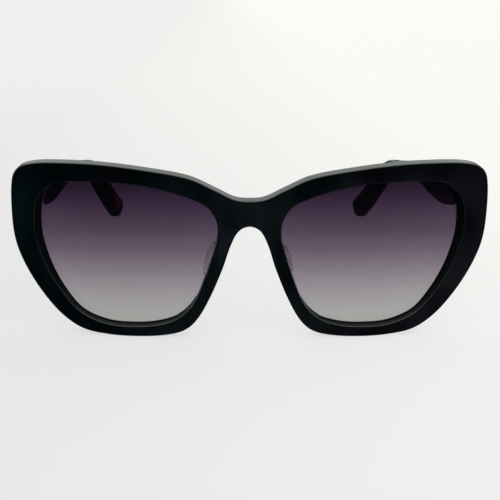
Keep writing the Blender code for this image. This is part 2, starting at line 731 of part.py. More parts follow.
def build_hinge_screw():
    """Pivot screw: shank through all five knuckles and a low head on top."""
    top = HINGE_LOW + HINGE_HEIGHT
    seat = top + PIN_RISE
    crown = seat + PIN_HEAD_HEIGHT

    def shank(mesh):
        rod(mesh, (AXIS_X, AXIS_Y, HINGE_LOW + PIN_END),
            (AXIS_X, AXIS_Y, seat + PIN_HEAD_HEIGHT / 2), PIN_RADIUS, 16)

    def head(mesh):
        rod(mesh, (AXIS_X, AXIS_Y, seat), (AXIS_X, AXIS_Y, crown), PIN_HEAD_RADIUS, 20)

    def slot(mesh):
        box(mesh, (AXIS_X - OVERSHOOT, AXIS_Y - SLOT_WIDTH / 2, crown - SLOT_DEPTH),
            (AXIS_X + OVERSHOOT, AXIS_Y + SLOT_WIDTH / 2, crown + OVERSHOOT))
    screw = solid(shank, "hinge_screw_left", STEEL)
    combine(screw, [solid(head)], "UNION")
    return combine(screw, [solid(slot)], "DIFFERENCE")


def build_leaf_screw(name, place, inward):
    """Small flush screw: shank and flat head."""
    place = Vector(place)
    inward = Vector(inward)

    def shank(mesh):
        rod(mesh, place + inward * SCREW_NECK, place + inward * SCREW_LENGTH, SCREW_RADIUS, 10)

    def head(mesh):
        rod(mesh, place, place + inward * SCREW_HEAD_HEIGHT, SCREW_HEAD_RADIUS, 14)
    screw = solid(shank, name, STEEL)
    return combine(screw, [solid(head)], "UNION")


# ---- assembly --------------------------------------------------------------------
def clear_scene():
    for old in list(bpy.data.objects):
        bpy.data.objects.remove(old)


def to_world(made):
    """Millimetres in the design frame to metres, centred over the footprint."""
    shift = Matrix.Translation((0, -TEMPLE_REACH / 2, 0))
    made.data.transform(Matrix.Scale(MM, 4) @ shift)


def hang_on(made, pivot):
    """Put the piece's origin on its joint's axis."""
    made.data.transform(Matrix.Translation(-pivot.location))
    made.parent = pivot


def build():
    clear_scene()
    fixed = [build_front()]
    fixed_pairs = [build_lens(), build_pad(), build_front_leaf(), build_hinge_screw()]
    labels = ("upper", "lower")
    for label, place in zip(labels, reversed(front_screw_places())):
        name = f"front_leaf_screw_{label}_left"
        fixed_pairs.append(build_leaf_screw(name, place, (0, -1, 0)))
    moving_pairs = [build_temple(), core_tube("core_wire_left", CORE_RADIUS, 0.0, 0.0),
                    build_temple_leaf()]
    for label, place in zip(("front", "rear"), temple_screw_places()):
        name = f"temple_leaf_screw_{label}_left"
        moving_pairs.append(build_leaf_screw(name, place, (1, 0, 0)))

    fixed += fixed_pairs
    fixed += [mirrored(made, made.name.replace("left", "right")) for made in fixed_pairs]
    for made in fixed:
        to_world(made)
    swung = {"left": moving_pairs,
             "right": [mirrored(made, made.name.replace("left", "right")) for made in moving_pairs]}
    for side, name in ((1, "left"), (-1, "right")):
        pivot = bpy.data.objects.new(f"hinge_axis_{name}", None)
        bpy.context.collection.objects.link(pivot)
        pivot.location = (side * AXIS_X * MM, (AXIS_Y - TEMPLE_REACH / 2) * MM, HINGE_Z * MM)
        for made in swung[name]:
            to_world(made)
            hang_on(made, pivot)


build()
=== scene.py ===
from math import ceil, cos, pi, radians, sin

import bpy
from mathutils import Matrix, Vector
from mathutils.geometry import interpolate_bezier


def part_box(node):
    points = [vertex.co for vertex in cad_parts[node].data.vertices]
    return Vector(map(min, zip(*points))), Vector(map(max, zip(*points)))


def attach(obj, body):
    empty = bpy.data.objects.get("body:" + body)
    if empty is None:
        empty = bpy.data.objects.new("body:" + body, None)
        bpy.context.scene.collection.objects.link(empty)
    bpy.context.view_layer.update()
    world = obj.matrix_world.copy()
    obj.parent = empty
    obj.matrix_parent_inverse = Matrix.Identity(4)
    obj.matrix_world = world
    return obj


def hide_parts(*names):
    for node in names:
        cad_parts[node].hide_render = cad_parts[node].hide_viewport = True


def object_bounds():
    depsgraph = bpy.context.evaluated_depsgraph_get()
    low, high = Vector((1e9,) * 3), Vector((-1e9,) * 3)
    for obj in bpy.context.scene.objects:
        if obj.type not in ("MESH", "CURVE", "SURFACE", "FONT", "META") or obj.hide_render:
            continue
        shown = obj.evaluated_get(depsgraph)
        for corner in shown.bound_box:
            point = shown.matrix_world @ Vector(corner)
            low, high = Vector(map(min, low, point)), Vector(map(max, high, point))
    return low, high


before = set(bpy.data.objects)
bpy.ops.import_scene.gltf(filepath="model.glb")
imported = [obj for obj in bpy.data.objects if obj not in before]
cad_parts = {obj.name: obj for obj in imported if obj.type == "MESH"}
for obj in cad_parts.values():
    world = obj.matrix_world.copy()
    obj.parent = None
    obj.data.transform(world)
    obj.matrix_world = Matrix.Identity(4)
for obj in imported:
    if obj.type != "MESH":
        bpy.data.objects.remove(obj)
cadLow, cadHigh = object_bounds()
corners = {name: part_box(name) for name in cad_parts}  # lowest and highest corner of each
mm = 0.001
samePlace = 1e-6  # points closer than this are one
footY = cadLow.y  # the design frame's zero: the front of the bridge


def deselectAll():
    if bpy.context.object and bpy.context.object.mode != "OBJECT":
        bpy.ops.object.mode_set(mode="OBJECT")
    bpy.ops.object.select_all(action="DESELECT")


def makeActive(obj):
    deselectAll()
    obj.select_set(True)
    bpy.context.view_layer.objects.active = obj
    return obj


# studio: camera, floor and light
studio = {
    "cameraSide": -0.0094, "cameraAhead": 0.225, "cameraHeight": 0.1057, "downTilt": 18.777,
    "focalLength": 56.88, "shift": 0.0635,
    # the four floor colours carry painted light: darker near the front, paler towards the back and
    # the right
    "floorSize": 80.0, "floorNear": (0.755, 0.755, 0.745), "floorSide": (0.915, 0.915, 0.897),
    "floorFar": (0.835, 0.835, 0.818), "floorFarSide": (0.93, 0.935, 0.895),
    "floorPaintedGlow": 0.80, "floorShare": 0.32,  # painted glow of the floor, which washes out the shadows on it, and the share that light adds
    "skyStrength": 0.62, "topPower": 0.5, "topSize": 0.9, "topPlace": (0.15, -0.25, 0.80),
    # the dim room that the polished front mirrors: sideways share of direction, then colour
    "room": ((-0.55, (0.030, 0.135, 0.165)), (-0.34, (0.040, 0.054, 0.090)),
             (-0.10, (0.115, 0.175, 0.210)), (0.10, (0.135, 0.200, 0.240)),
             (0.37, (0.160, 0.150, 0.215)), (0.60, (0.180, 0.185, 0.240))),
    # and how bright it is by height: share from low to level, then brightness
    "roomHeights": ((0.0, 0.85), (0.20, 0.95), (0.42, 1.15), (0.66, 0.85), (0.80, 0.35),
                    (1.0, 0.30)),
    "pale": (1.08, 1.16, 1.09), "clutterScale": 13.0, "clutterShade": 0.35,
    "overhead": 2.8, "backdrop": (1.38, 1.38, 1.36, 1),
    "floorRough": 0.9, "floorSpecular": 0.1, "clutterDetail": 2,
    # where each blend starts and ends: metres on the floor, shares of direction in the sky
    "floorAcross": (-0.15, 0.15), "floorAlong": (-0.16, 0.60), "roomAhead": (-0.72, -0.15),
    "roomLevels": (-0.45, -0.15), "paleLevels": (-0.12, 0.15), "softboxLevels": (0.45, 0.75),
    "clutterRange": (0.35, 0.65),
}


def buildCamera():
    bpy.ops.object.camera_add(
        location=(studio["cameraSide"], footY - studio["cameraAhead"], studio["cameraHeight"]),
        rotation=(radians(90 - studio["downTilt"]), 0, 0))
    camera = bpy.context.object
    camera.name = "studioCamera"
    camera.data.lens = studio["focalLength"]
    camera.data.sensor_width = 36
    camera.data.shift_x = studio["shift"]
    camera.data.clip_start = 0.01
    bpy.context.scene.camera = camera


def blendBetween(nodes, span, smooth=False):
    # a Map Range that runs from one end of a span to the other
    node = nodes.new("ShaderNodeMapRange")
    node.inputs["From Min"].default_value, node.inputs["From Max"].default_value = span
    if smooth:
        node.interpolation_type = "SMOOTHSTEP"
    return node


def buildFloor():
    bpy.ops.mesh.primitive_plane_add(size=studio["floorSize"], location=(0, 0, cadLow.z))
    floor = bpy.context.object
    floor.name = "paleFloor"
    paint = bpy.data.materials.new("palePaperWithPaintedLight")
    paint.use_nodes = True
    nodes, links = paint.node_tree.nodes, paint.node_tree.links
    shader = nodes["Principled BSDF"]
    shader.inputs["Roughness"].default_value = studio["floorRough"]
    shader.inputs["Specular IOR Level"].default_value = studio["floorSpecular"]
    # painted light: the floor's colour pales slowly towards the back and the right, standing in
    # for soft light falling off across a sweep
    split = nodes.new("ShaderNodeSeparateXYZ")
    links.new(nodes.new("ShaderNodeTexCoord").outputs["Object"], split.inputs["Vector"])
    across = blendBetween(nodes, studio["floorAcross"])
    along = blendBetween(nodes, studio["floorAlong"])
    links.new(split.outputs["X"], across.inputs["Value"])
    links.new(split.outputs["Y"], along.inputs["Value"])
    mixes = []
    for first, second in (("floorNear", "floorSide"), ("floorFar", "floorFarSide")):
        mix = nodes.new("ShaderNodeMix")
        mix.data_type = "RGBA"
        mix.inputs["A"].default_value = (*studio[first], 1)
        mix.inputs["B"].default_value = (*studio[second], 1)
        links.new(across.outputs["Result"], mix.inputs["Factor"])
        mixes.append(mix.outputs["Result"])
    paperAndPaintedLight = nodes.new("ShaderNodeMix")
    paperAndPaintedLight.data_type = "RGBA"
    links.new(along.outputs["Result"], paperAndPaintedLight.inputs["Factor"])
    links.new(mixes[0], paperAndPaintedLight.inputs["A"])
    links.new(mixes[1], paperAndPaintedLight.inputs["B"])
    share = nodes.new("ShaderNodeMix")
    share.data_type = "RGBA"
    share.inputs["Factor"].default_value = studio["floorShare"]
    share.inputs["A"].default_value = (0, 0, 0, 1)
    links.new(paperAndPaintedLight.outputs["Result"], share.inputs["B"])
    links.new(share.outputs["Result"], shader.inputs["Base Color"])
    # the floor glows with its own graded colour, a painted glow that washes out its shadows
    links.new(paperAndPaintedLight.outputs["Result"], shader.inputs["Emission Color"])
    shader.inputs["Emission Strength"].default_value = studio["floorPaintedGlow"]
    floor.data.materials.append(paint)
    floor.visible_glossy = False  # the sky below stands in for it in reflections


def buildLight():
    place = Vector(studio["topPlace"])
    bpy.ops.object.light_add(type="AREA", location=place,
                             rotation=place.to_track_quat("Z", "Y").to_euler())
    lamp = bpy.context.object
    lamp.name = "topSoftbox"
    lamp.data.energy = studio["topPower"]
    lamp.data.shape = "SQUARE"
    lamp.data.size = studio["topSize"]
    lamp.visible_glossy = False  # no hard square mirrored in the polish


def setStops(ramp, stops):
    # colours along a ramp, each a place from 0 to 1 and a colour
    elements = ramp.color_ramp.elements
    elements[0].position, elements[0].color = stops[0][0], (*stops[0][1], 1)
    elements[1].position, elements[1].color = stops[-1][0], (*stops[-1][1], 1)
    for at, colour in stops[1:-1]:
        elements.new(at).color = (*colour, 1)


def buildSky():
    world = bpy.data.worlds.new("studioSky")
    bpy.context.scene.world = world
    world.use_nodes = True
    nodes, links = world.node_tree.nodes, world.node_tree.links
    background = nodes["Background"]
    direction = nodes.new("ShaderNodeTexCoord")
    split = nodes.new("ShaderNodeSeparateXYZ")
    links.new(direction.outputs["Generated"], split.inputs["Vector"])
    ahead = blendBetween(nodes, studio["roomAhead"], True)  # dark room in front of the glasses
    links.new(split.outputs["Y"], ahead.inputs["Value"])
    across = blendBetween(nodes, (-1, 1))
    links.new(split.outputs["X"], across.inputs["Value"])
    dim = nodes.new("ShaderNodeValToRGB")
    dim.color_ramp.interpolation = "EASE"
    setStops(dim, [((1 + at) / 2, colour) for at, colour in studio["room"]])
    links.new(across.outputs["Result"], dim.inputs["Fac"])
    clutter = nodes.new("ShaderNodeTexNoise")  # soft dark shapes standing about the room
    clutter.inputs["Scale"].default_value = studio["clutterScale"]
    clutter.inputs["Detail"].default_value = studio["clutterDetail"]
    shade = blendBetween(nodes, studio["clutterRange"])
    shade.inputs["To Min"].default_value = studio["clutterShade"]
    shade.inputs["To Max"].default_value = 2 - studio["clutterShade"]
    links.new(direction.outputs["Generated"], clutter.inputs["Vector"])
    links.new(clutter.outputs["Fac"], shade.inputs["Value"])
    level = blendBetween(nodes, studio["roomLevels"])  # darker towards eye level
    links.new(split.outputs["Z"], level.inputs["Value"])
    heights = nodes.new("ShaderNodeValToRGB")
    heights.color_ramp.interpolation = "EASE"
    setStops(heights, [(at, (much, much, much)) for at, much in studio["roomHeights"]])
    links.new(level.outputs["Result"], heights.inputs["Fac"])
    lift = nodes.new("ShaderNodeMath")
    lift.operation = "MULTIPLY"
    links.new(shade.outputs["Result"], lift.inputs[0])
    links.new(heights.outputs["Color"], lift.inputs[1])
    dimmed = nodes.new("ShaderNodeVectorMath")
    dimmed.operation = "SCALE"
    links.new(dim.outputs["Color"], dimmed.inputs[0])
    links.new(lift.outputs["Value"], dimmed.inputs["Scale"])
    above = blendBetween(nodes, studio["paleLevels"], True)
    links.new(split.outputs["Z"], above.inputs["Value"])
    bright = nodes.new("ShaderNodeMath")
    bright.operation = "MULTIPLY"
    links.new(ahead.outputs["Result"], bright.inputs[0])
    links.new(above.outputs["Result"], bright.inputs[1])
    overhead = blendBetween(nodes, studio["softboxLevels"], True)  # a broad softbox above
    overhead.inputs["To Min"].default_value = 1
    overhead.inputs["To Max"].default_value = studio["overhead"]
    links.new(split.outputs["Z"], overhead.inputs["Value"])
    glow = nodes.new("ShaderNodeVectorMath")
    glow.operation = "SCALE"
    glow.inputs[0].default_value = studio["pale"]
    links.new(overhead.outputs["Result"], glow.inputs["Scale"])
    room = nodes.new("ShaderNodeMix")
    room.data_type = "RGBA"
    links.new(glow.outputs["Vector"], room.inputs["B"])
    links.new(bright.outputs["Value"], room.inputs["Factor"])
    links.new(dimmed.outputs["Vector"], room.inputs["A"])
    ray = nodes.new("ShaderNodeLightPath")
    choose = nodes.new("ShaderNodeMix")
    choose.data_type = "RGBA"
    seen = nodes.new("ShaderNodeMix")  # what stands behind the floor in a low view
    seen.data_type = "RGBA"
    seen.inputs["A"].default_value = (1, 1, 1, 1)
    seen.inputs["B"].default_value = studio["backdrop"]
    links.new(ray.outputs["Is Camera Ray"], seen.inputs["Factor"])
    links.new(seen.outputs["Result"], choose.inputs["A"])
    links.new(ray.outputs["Is Glossy Ray"], choose.inputs["Factor"])
    links.new(room.outputs["Result"], choose.inputs["B"])
    links.new(choose.outputs["Result"], background.inputs["Color"])
    background.inputs["Strength"].default_value = studio["skyStrength"]


# outlines
def smoothPoints(points, spacing, closed):
    # points about that far apart on a smooth curve through the given ones
    knots = [Vector(p).to_3d() for p in points]
    count = len(knots)
    result = []
    for i in range(count if closed else count - 1):
        here = knots[i]
        there = knots[(i + 1) % count]
        before = knots[i - 1] if closed or i else here
        after = knots[(i + 2) % count] if closed or i + 2 < count else there
        span = (there - here).length
        leave = (there - before) * span / max((here - before).length + span, 1e-9)
        arrive = (after - here) * span / max((after - there).length + span, 1e-9)
        steps = max(2, ceil(span / spacing))
        curve = interpolate_bezier(here, here + leave / 3, there - arrive / 3, there, steps + 1)
        result.extend(curve[:-1])
    if not closed:
        result.append(knots[-1])
    return result


def outwardNormals(points):
    normals = []
    count = len(points)
    for i in range(count):
        along = points[(i + 1) % count] - points[i - 1]
        normals.append(Vector((-along.y, along.x)).normalized())
    return normals


def evenLoop(points, count):
    # the same closed outline with points at equal steps along it
    total = sum((points[i] - points[i - 1]).length for i in range(len(points)))
    step = total / count
    result = []
    i = 0
    start = 0.0
    here = points[0]
    following = points[1]
    for k in range(count):
        target = k * step
        while start + (following - here).length < target - 1e-12:
            start += (following - here).length
            i += 1
            here = points[i % len(points)]
            following = points[(i + 1) % len(points)]
        share = (target - start) / max((following - here).length, 1e-12)
        result.append(here.lerp(following, min(max(share, 0.0), 1.0)))
    return result


# rings: a primitive circle, extruded and placed ring by ring
def ringPiece(name, rings):
    deselectAll()
    count = len(rings[0])
    bpy.ops.mesh.primitive_circle_add(vertices=count, radius=0.01)
    piece = bpy.context.object
    piece.name = name
    for vert, place in zip(piece.data.vertices, rings[0]):
        vert.co = place
    for ring in rings[1:]:
        bpy.ops.object.mode_set(mode="EDIT")
        bpy.ops.mesh.select_mode(type="EDGE")
        bpy.ops.mesh.extrude_edges_move()
        bpy.ops.object.mode_set(mode="OBJECT")
        fresh = piece.data.vertices[-count:]
        for vert, place in zip(fresh, ring):
            vert.co = place
    return piece


def joinInto(first, others):
    makeActive(first)
    for other in others:
        other.select_set(True)
    bpy.ops.object.join()
    return first


def editAll(obj):
    makeActive(obj)
    bpy.ops.object.mode_set(mode="EDIT")
    bpy.ops.mesh.select_mode(type="EDGE")
    bpy.ops.mesh.select_all(action="SELECT")


def leaveEdit():
    bpy.ops.object.mode_set(mode="OBJECT")


def selectEdges(obj, chosen):
    # selects the edges for which chosen(edge, start, end) holds, from object mode
    makeActive(obj)
    for face in obj.data.polygons:
        face.select = False
    verts = obj.data.vertices
    for vert in verts:
        vert.select = False
    for edge in obj.data.edges:
        edge.select = chosen(verts[edge.vertices[0]].co, verts[edge.vertices[1]].co)
    bpy.ops.object.mode_set(mode="EDIT")
    bpy.ops.mesh.select_mode(type="EDGE")


def combine(target, tool, operation):
    # one exact Boolean, applied; the tool is removed
    change = target.modifiers.new("shape", "BOOLEAN")
    change.operation = operation
    change.solver = "EXACT"
    change.object = tool
    makeActive(target)
    bpy.ops.object.modifier_apply(modifier=change.name)
    data = tool.data
    bpy.data.objects.remove(tool)
    bpy.data.meshes.remove(data)
    return target


def boxTool(low, high):
    deselectAll()
    low, high = Vector(low), Vector(high)
    bpy.ops.mesh.primitive_cube_add(size=1, location=(low + high) / 2)
    tool = bpy.context.object
    tool.scale = high - low
    bpy.ops.object.transform_apply(location=True, rotation=True, scale=True)
    return tool


def rodTool(start, end, radius, sides=32):
    deselectAll()
    start, end = Vector(start), Vector(end)
    along = end - start
    bpy.ops.mesh.primitive_cylinder_add(vertices=sides, radius=radius, depth=along.length,
                                        location=(start + end) / 2,
                                        rotation=along.to_track_quat("Z", "X").to_euler())
    bpy.ops.object.transform_apply(location=True, rotation=True, scale=True)
    return bpy.context.object


def shadeSmooth(obj, angle=35, weighted=True):
    makeActive(obj)
    bpy.ops.object.shade_smooth_by_angle(angle=radians(angle))
    if weighted:  # flat faces stay flat beside their rounded edges
        even = obj.modifiers.new("even", "WEIGHTED_NORMAL")
        even.keep_sharp = True
        bpy.ops.object.modifier_apply(modifier=even.name)
    return obj


def mirroredCopy(source, name):
    deselectAll()
    source.select_set(True)
    bpy.context.view_layer.objects.active = source
    bpy.ops.object.duplicate()
    copy = bpy.context.object
    copy.name = name
    copy.scale = (-1, 1, 1)
    bpy.ops.object.transform_apply(location=True, rotation=True, scale=True)
    editAll(copy)
    bpy.ops.mesh.normals_make_consistent(inside=False)
    leaveEdit()
    return copy


def roundProfile(radius, steps):
    # (inset, depth) pairs round a quarter circle, from the face to the side
    turns = [pi / 2 * i / steps for i in range(steps + 1)]
    return [(radius * (1 - sin(a)), radius * (1 - cos(a))) for a in turns]


def wrap(x):
    return x * x / (2 * frontShape["wrapRadius"])


# front of black acetate
frontShape = {
    "stripShift": 1e-5,  # keeps the cuts between strips off the points of the outline
    "thick": 5.0 * mm, "wrapRadius": 465 * mm, "edge": 0.5 * mm,
    "openingEdge": 0.30 * mm, "wallSlope": 0.03 * mm, "flare": 1.72 * mm, "flareFall": 8,
    "openingDrop": 0.30 * mm, "backEdge": 0.4 * mm,
    "lensShelf": 0.9 * mm, "lensThick": 1.7 * mm, "lensGap": 0.12 * mm, "groove": 0.8 * mm,
    "outlinePoints": 420, "openingPoints": 200, "roundSteps": 6, "strips": 32,
    # right half from the centre line: shares of the half width and of the height
    "outline": (
        (0.0, 0.801), (0.062, 0.81), (0.14, 0.859), (0.25, 0.924), (0.415, 0.964),
        (0.61, 0.993), (0.788, 1.0), (0.897, 0.993), (0.957, 0.967), (0.986, 0.912),
        (1.0, 0.741), (0.995, 0.563), (0.962, 0.42), (0.897, 0.261), (0.814, 0.123),
        (0.723, 0.038), (0.61, 0.007), (0.485, 0.0), (0.36, 0.012), (0.277, 0.043),
        (0.222, 0.109), (0.167, 0.239), (0.112, 0.415), (0.077, 0.554), (0.044, 0.634),
        (0.0, 0.659)),
    # one opening: shares of its own width, from the nose side, and height
    "opening": (
        (0.0, 0.64), (0.006, 0.745), (0.054, 0.838), (0.13, 0.887), (0.27, 0.942),
        (0.40, 0.975), (0.52, 0.992), (0.66, 1.0), (0.79, 0.999), (0.90, 0.985),
        (0.957, 0.935), (0.987, 0.84), (1.0, 0.70), (0.993, 0.58), (0.954, 0.408),
        (0.884, 0.236), (0.787, 0.09), (0.645, 0.015), (0.489, 0.0), (0.34, 0.018),
        (0.222, 0.072), (0.138, 0.176), (0.071, 0.361), (0.02, 0.54)),
}
hingePlace = {
    "seatReach": 4 * mm, "knuckleRadius": 1.25 * mm,
    "leafThick": 1.0 * mm, "fitGap": 0.12 * mm, "endInboard": 1.05 * mm, "endRoot": 0.43 * mm,
    "endEdge": 1.1 * mm, "overshoot": 2.0 * mm, "boreRadius": 0.61 * mm, "mitreGap": 0.15 * mm,
}


def frontOutline():
    low, high = corners["front"]
    half = [(u * high.x, low.z + v * (high.z - low.z)) for u, v in frontShape["outline"]]
    other = [(-x, z) for x, z in reversed(half[1:-1])]
    fine = [p.to_2d() for p in smoothPoints(half + other, 0.5 * mm, True)]
    widest = max(p.x for p in fine)
    bottom, top = min(p.y for p in fine), max(p.y for p in fine)
    fitted = [Vector((p.x * high.x / widest,
                      low.z + (p.y - bottom) * (high.z - low.z) / (top - bottom))) for p in fine]
    return evenLoop(fitted, frontShape["outlinePoints"])


def openingOutline():
    low, high = corners["lens_left"]
    reach = frontShape["groove"] - frontShape["lensGap"]  # the lens edge stands in its groove
    width, height = high.x - low.x - 2 * reach, high.z - low.z - 2 * reach
    bottom = low.z + reach - frontShape["openingDrop"]
    height += frontShape["openingDrop"]
    points = [(low.x + reach + u * width, bottom + v * height)
              for u, v in frontShape["opening"]]
    fine = [p.to_2d() for p in smoothPoints(points, 0.4 * mm, True)]
    return evenLoop(fine, frontShape["openingPoints"])


def ringAt(points, normals, grow, depth, side=1):
    grows = grow if isinstance(grow, list) else [grow] * len(points)
    return [Vector((side * (p.x + n.x * g), footY + depth, p.y + n.y * g))
            for p, n, g in zip(points, normals, grows)]


def fillFace(obj, depth):
    # flat face between the loops that lie at one depth
    y = footY + depth
    selectEdges(obj, lambda a, b: abs(a.y - y) < samePlace and abs(b.y - y) < samePlace)
    bpy.ops.mesh.fill(use_beauty=True)
    leaveEdit()


def buildFront():
    shape = frontShape
    thick = shape["thick"]
    outer = frontOutline()
    outerOut = outwardNormals(outer)
    rounds = roundProfile(shape["edge"], shape["roundSteps"])
    levels = [(-inset, depth) for inset, depth in rounds]
    levels += [(-inset, thick - depth) for inset, depth in reversed(rounds)]
    front = ringPiece("frontFrame", [ringAt(outer, outerOut, g, d) for g, d in levels])

    opening = openingOutline()
    openingOut = outwardNormals(opening)
    flare = [shape["wallSlope"] + shape["flare"] * max(0.0, n.x) ** shape["flareFall"]
             for n in openingOut]
    grooveBack = thick - shape["lensShelf"] + shape["lensGap"]
    grooveFront = grooveBack - shape["lensThick"] - 2 * shape["lensGap"]
    deep = shape["groove"]
    # a small round at the face, then a wall that slopes in to the lens
    levels = [([f + g for f in flare], d)
              for g, d in roundProfile(shape["openingEdge"], shape["roundSteps"])]
    levels += [([f * 0.12 for f in flare], grooveFront * 0.88), (0.0, grooveFront)]
    levels += [(deep, grooveFront), (deep, grooveBack), (0.0, grooveBack)]
    levels += [(g, thick - d) for g, d in reversed(roundProfile(shape["backEdge"], 3))]
    walls = [ringPiece(f"openingWall{side}",
                       [ringAt(opening, openingOut, g, d, side) for g, d in levels])
             for side in (1, -1)]
    front.data.materials.append(blackFront)
    for wall in walls:  # buffed round whose heavy edge wear is partly real wear and partly a painted highlight along the arris, duller milled wall behind it
        wall.data.materials.append(buffedRoundWearAndHighlight)
        wall.data.materials.append(milledWall)
        for face in wall.data.polygons:
            face.material_index = int(face.center.y > footY + shape["openingEdge"])
    joinInto(front, walls)
    fillFace(front, 0.0)
    fillFace(front, thick)
    editAll(front)
    bpy.ops.mesh.normals_make_consistent(inside=False)
    halfWidth = corners["front"][1].x
    for i in range(1 - shape["strips"] // 2, shape["strips"] // 2):
        bpy.ops.mesh.select_all(action="SELECT")
        cutAt = i * 2 * halfWidth / shape["strips"] + shape["stripShift"]
        bpy.ops.mesh.bisect(plane_co=(cutAt, 0, 0), plane_no=(1, 0, 0), threshold=samePlace)
    leaveEdit()
    for vert in front.data.vertices:
        vert.co.y += wrap(vert.co.x)
    for side in (1, -1):
        addEndBlock(front, side)
    return front


def sideBox(side, low, high):
    near, far = sorted((side * low[0], side * high[0]))
    return boxTool((near, low[1], low[2]), (far, high[1], high[2]))


def addEndBlock(front, side):
    # the block behind the rim that the temple closes against, with the seat for its leaf
    templeLow, templeHigh = corners["temple_left"]
    leafLow, leafHigh = corners["front_hinge_left"]
    screwLow, screwHigh = corners["front_leaf_screw_upper_left"]
    axis = corners["hinge_screw_left"]
    axisX = (axis[0].x + axis[1].x) / 2
    mitre = templeLow.y - hingePlace["mitreGap"]
    bottom = templeHigh.z - templeShape["height"]
    start = footY + wrap(axisX) + frontShape["thick"] - hingePlace["endRoot"]
    block = sideBox(side, (axisX - hingePlace["endInboard"], start, bottom),
                    (templeHigh.x, mitre, templeHigh.z))
    middle = (bottom + templeHigh.z) / 2
    selectEdges(block, lambda a, b: abs(a.y - b.y) > mm and a.z > middle)
    bpy.ops.mesh.bevel(offset=hingePlace["endEdge"], segments=6, affect="EDGES")
    leaveEdit()
    combine(front, block, "UNION")
    gap = hingePlace["fitGap"]
    seat = sideBox(side, (axisX - hingePlace["seatReach"],
                          mitre - hingePlace["leafThick"] - gap / 2,
                          leafLow.z - gap),
                   (leafHigh.x + gap, mitre + hingePlace["overshoot"], leafHigh.z + gap))
    combine(front, seat, "DIFFERENCE")
    x = side * (screwLow.x + screwHigh.x) / 2
    for node in ("front_leaf_screw_upper_left", "front_leaf_screw_lower_left"):
        low, high = corners[node]
        z = (low.z + high.z) / 2
        bore = rodTool((x, low.y - 0.15 * mm, z), (x, mitre - 0.5 * mm, z),
                       hingePlace["boreRadius"])
        combine(front, bore, "DIFFERENCE")


# lenses
lensShape = {
    "crown": 1.2 * mm, "rings": 14, "innerShare": 0.04, "edgeRound": 0.12 * mm,
}


def buildLens():
    outline = openingOutline()
    normals = outwardNormals(outline)
    reach = frontShape["groove"] - frontShape["lensGap"]
    edge = [p + n * reach for p, n in zip(outline, normals)]
    xs = [p.x for p in outline]
    zs = [p.y for p in outline]
    middle = Vector(((min(xs) + max(xs)) / 2, (min(zs) + max(zs)) / 2))
    back = frontShape["thick"] - frontShape["lensShelf"]
    faces = ((back - frontShape["lensThick"], 1), (back, -1))

    def ring(share, depth, inset=0.0):
        places = []
        for point, normal in zip(edge, normals):
            place = middle + (point - normal * inset - middle) * share
            y = depth - lensShape["crown"] * (1 - share * share) + wrap(place.x)
            places.append(Vector((place.x, footY + y, place.y)))
        return places
    count = lensShape["rings"]
    low = lensShape["innerShare"]
    shares = [low + (1 - low) * (k / count) ** 0.8 for k in range(count + 1)]
    bevel = lensShape["edgeRound"]
    rings = [ring(share, faces[0][0], bevel if share == 1 else 0.0) for share in shares]
    rings += [ring(1.0, faces[0][0] + bevel), ring(1.0, faces[1][0] - bevel)]
    rings += [ring(share, faces[1][0], bevel if share == 1 else 0.0)
              for share in reversed(shares)]
    lens = ringPiece("lensLeft", rings)
    closeEnds(lens, len(edge))
    return shadeSmooth(lens, 40, weighted=False)


def closeEnds(piece, count):
    # each end ring drawn in to a face that ends in one point
    total = len(piece.data.vertices)
    for first in (0, total - count):
        makeActive(piece)
        chosen = range(first, first + count)
        for face in piece.data.polygons:
            face.select = False
        for edge in piece.data.edges:
            edge.select = edge.vertices[0] in chosen and edge.vertices[1] in chosen
        for vert in piece.data.vertices:
            vert.select = vert.index in chosen
        bpy.ops.object.mode_set(mode="EDIT")
        bpy.ops.mesh.select_mode(type="EDGE")
        bpy.ops.mesh.extrude_edges_move()
        bpy.ops.mesh.merge(type="CENTER")
        leaveEdit()
    editAll(piece)
    bpy.ops.mesh.normals_make_consistent(inside=False)
    leaveEdit()


# nose pads
padShape = {
    "height": 14.6 * mm, "depth": 11.4 * mm, "thick": 3.2 * mm, "splay": 24, "lean": 19,
    "sink": 0.6 * mm, "drop": 0.7 * mm,
}


def buildPad():
    low, high = corners["nose_pad_left"]
    back = low.y
    place = Vector(((low.x + high.x) / 2, back + padShape["sink"],
                    (low.z + high.z) / 2 - padShape["drop"]))
    deselectAll()
    bpy.ops.mesh.primitive_uv_sphere_add(segments=64, ring_count=40, radius=0.5)
    pad = bpy.context.object
    pad.name = "nosePadLeft"
    slim = Matrix.Diagonal((padShape["thick"], padShape["depth"], padShape["height"], 1.0))
    turn = Matrix.Rotation(-radians(padShape["splay"]), 4, "Z")
    lean = Matrix.Rotation(-radians(padShape["lean"]), 4, "Y")
    pad.matrix_world = Matrix.Translation(place) @ lean @ turn @ slim
    makeActive(pad)
    bpy.ops.object.transform_apply(location=True, rotation=True, scale=True)
    editAll(pad)
    bpy.ops.mesh.bisect(plane_co=(0, back, 0), plane_no=(0, -1, 0), clear_outer=True,
                        use_fill=True, threshold=1e-7)
    leaveEdit()
    return shadeSmooth(pad, 40)


